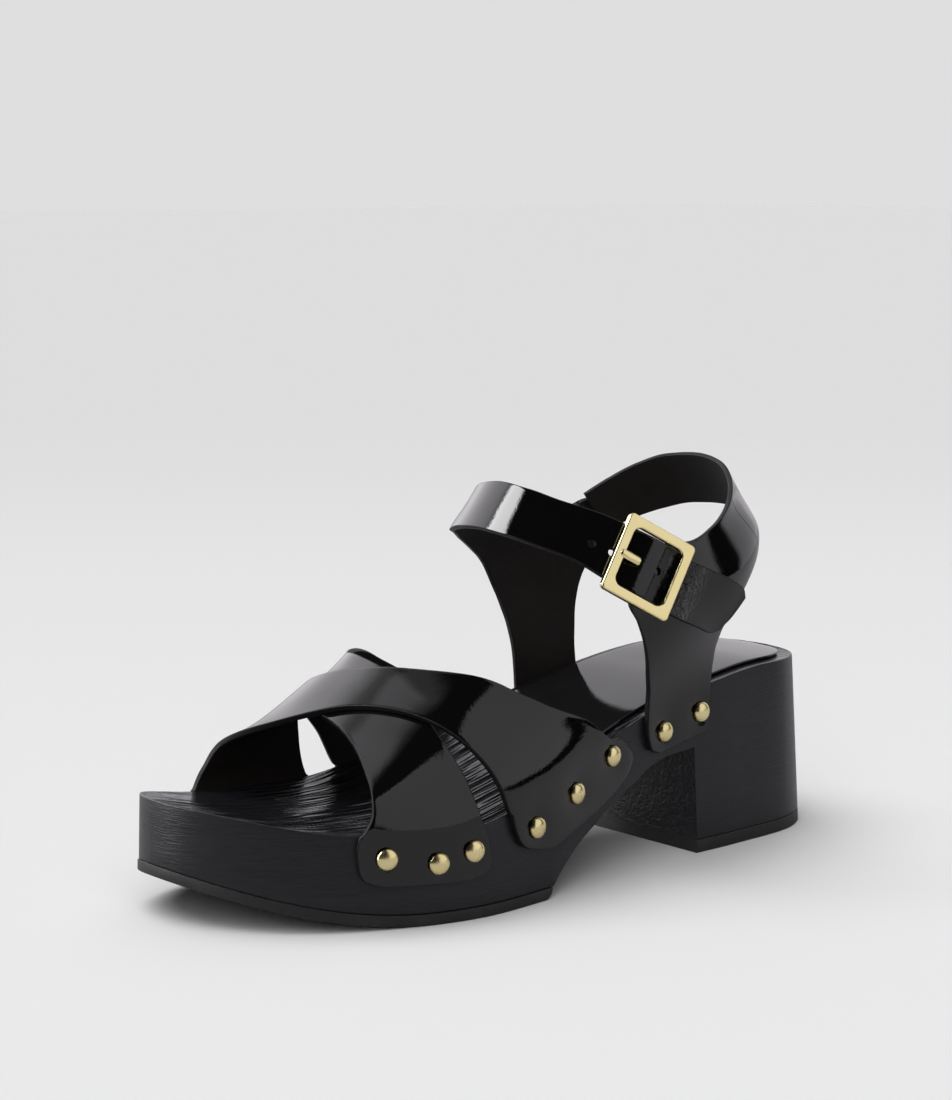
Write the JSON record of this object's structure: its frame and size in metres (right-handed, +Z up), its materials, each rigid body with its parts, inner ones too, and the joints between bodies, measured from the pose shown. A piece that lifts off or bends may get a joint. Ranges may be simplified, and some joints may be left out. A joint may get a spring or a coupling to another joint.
{
  "type": "platform clog sandal",
  "caption": "Left clog sandal: black wooden platform with a block heel, crossed patent leather straps, studded sides and a buckled ankle strap; worn on the foot.",
  "frame": {"origin": "centre of the shoe's box, on the floor plane that heel and forefoot stand on", "axes": "+X from the heel to the toe, +Y to the outer side of the left foot, +Z up"},
  "size_m": [0.2544, 0.105, 0.1312],
  "materials": {
    "stained_wood": "satin black stain with open grain",
    "rubber": "matte",
    "sock_leather": "smooth half gloss",
    "patent_leather": "high gloss lacquer",
    "pale_gold": "polished pale gold plating"
  },
  "bodies": {
    "root": {"clog_base": "stained_wood", "forefoot_outsole": "rubber", "heel_top_lift": "rubber", "heel_sock": "sock_leather", "cross_straps": "patent_leather", "medial_stay_ankle_strap": "patent_leather", "lateral_stay_back_strap": "patent_leather", "buckle": "pale_gold", "stud_outer_toe_1": "pale_gold", "stud_outer_toe_2": "pale_gold", "stud_outer_toe_3": "pale_gold", "stud_outer_waist_1": "pale_gold", "stud_outer_waist_2": "pale_gold", "stud_outer_waist_3": "pale_gold", "stud_outer_heel_1": "pale_gold", "stud_outer_heel_2": "pale_gold", "stud_inner_toe_1": "pale_gold", "stud_inner_toe_2": "pale_gold", "stud_inner_toe_3": "pale_gold", "stud_inner_waist_1": "pale_gold", "stud_inner_waist_2": "pale_gold", "stud_inner_waist_3": "pale_gold", "stud_inner_heel_1": "pale_gold", "stud_inner_heel_2": "pale_gold"}
  },
  "joints": []
}
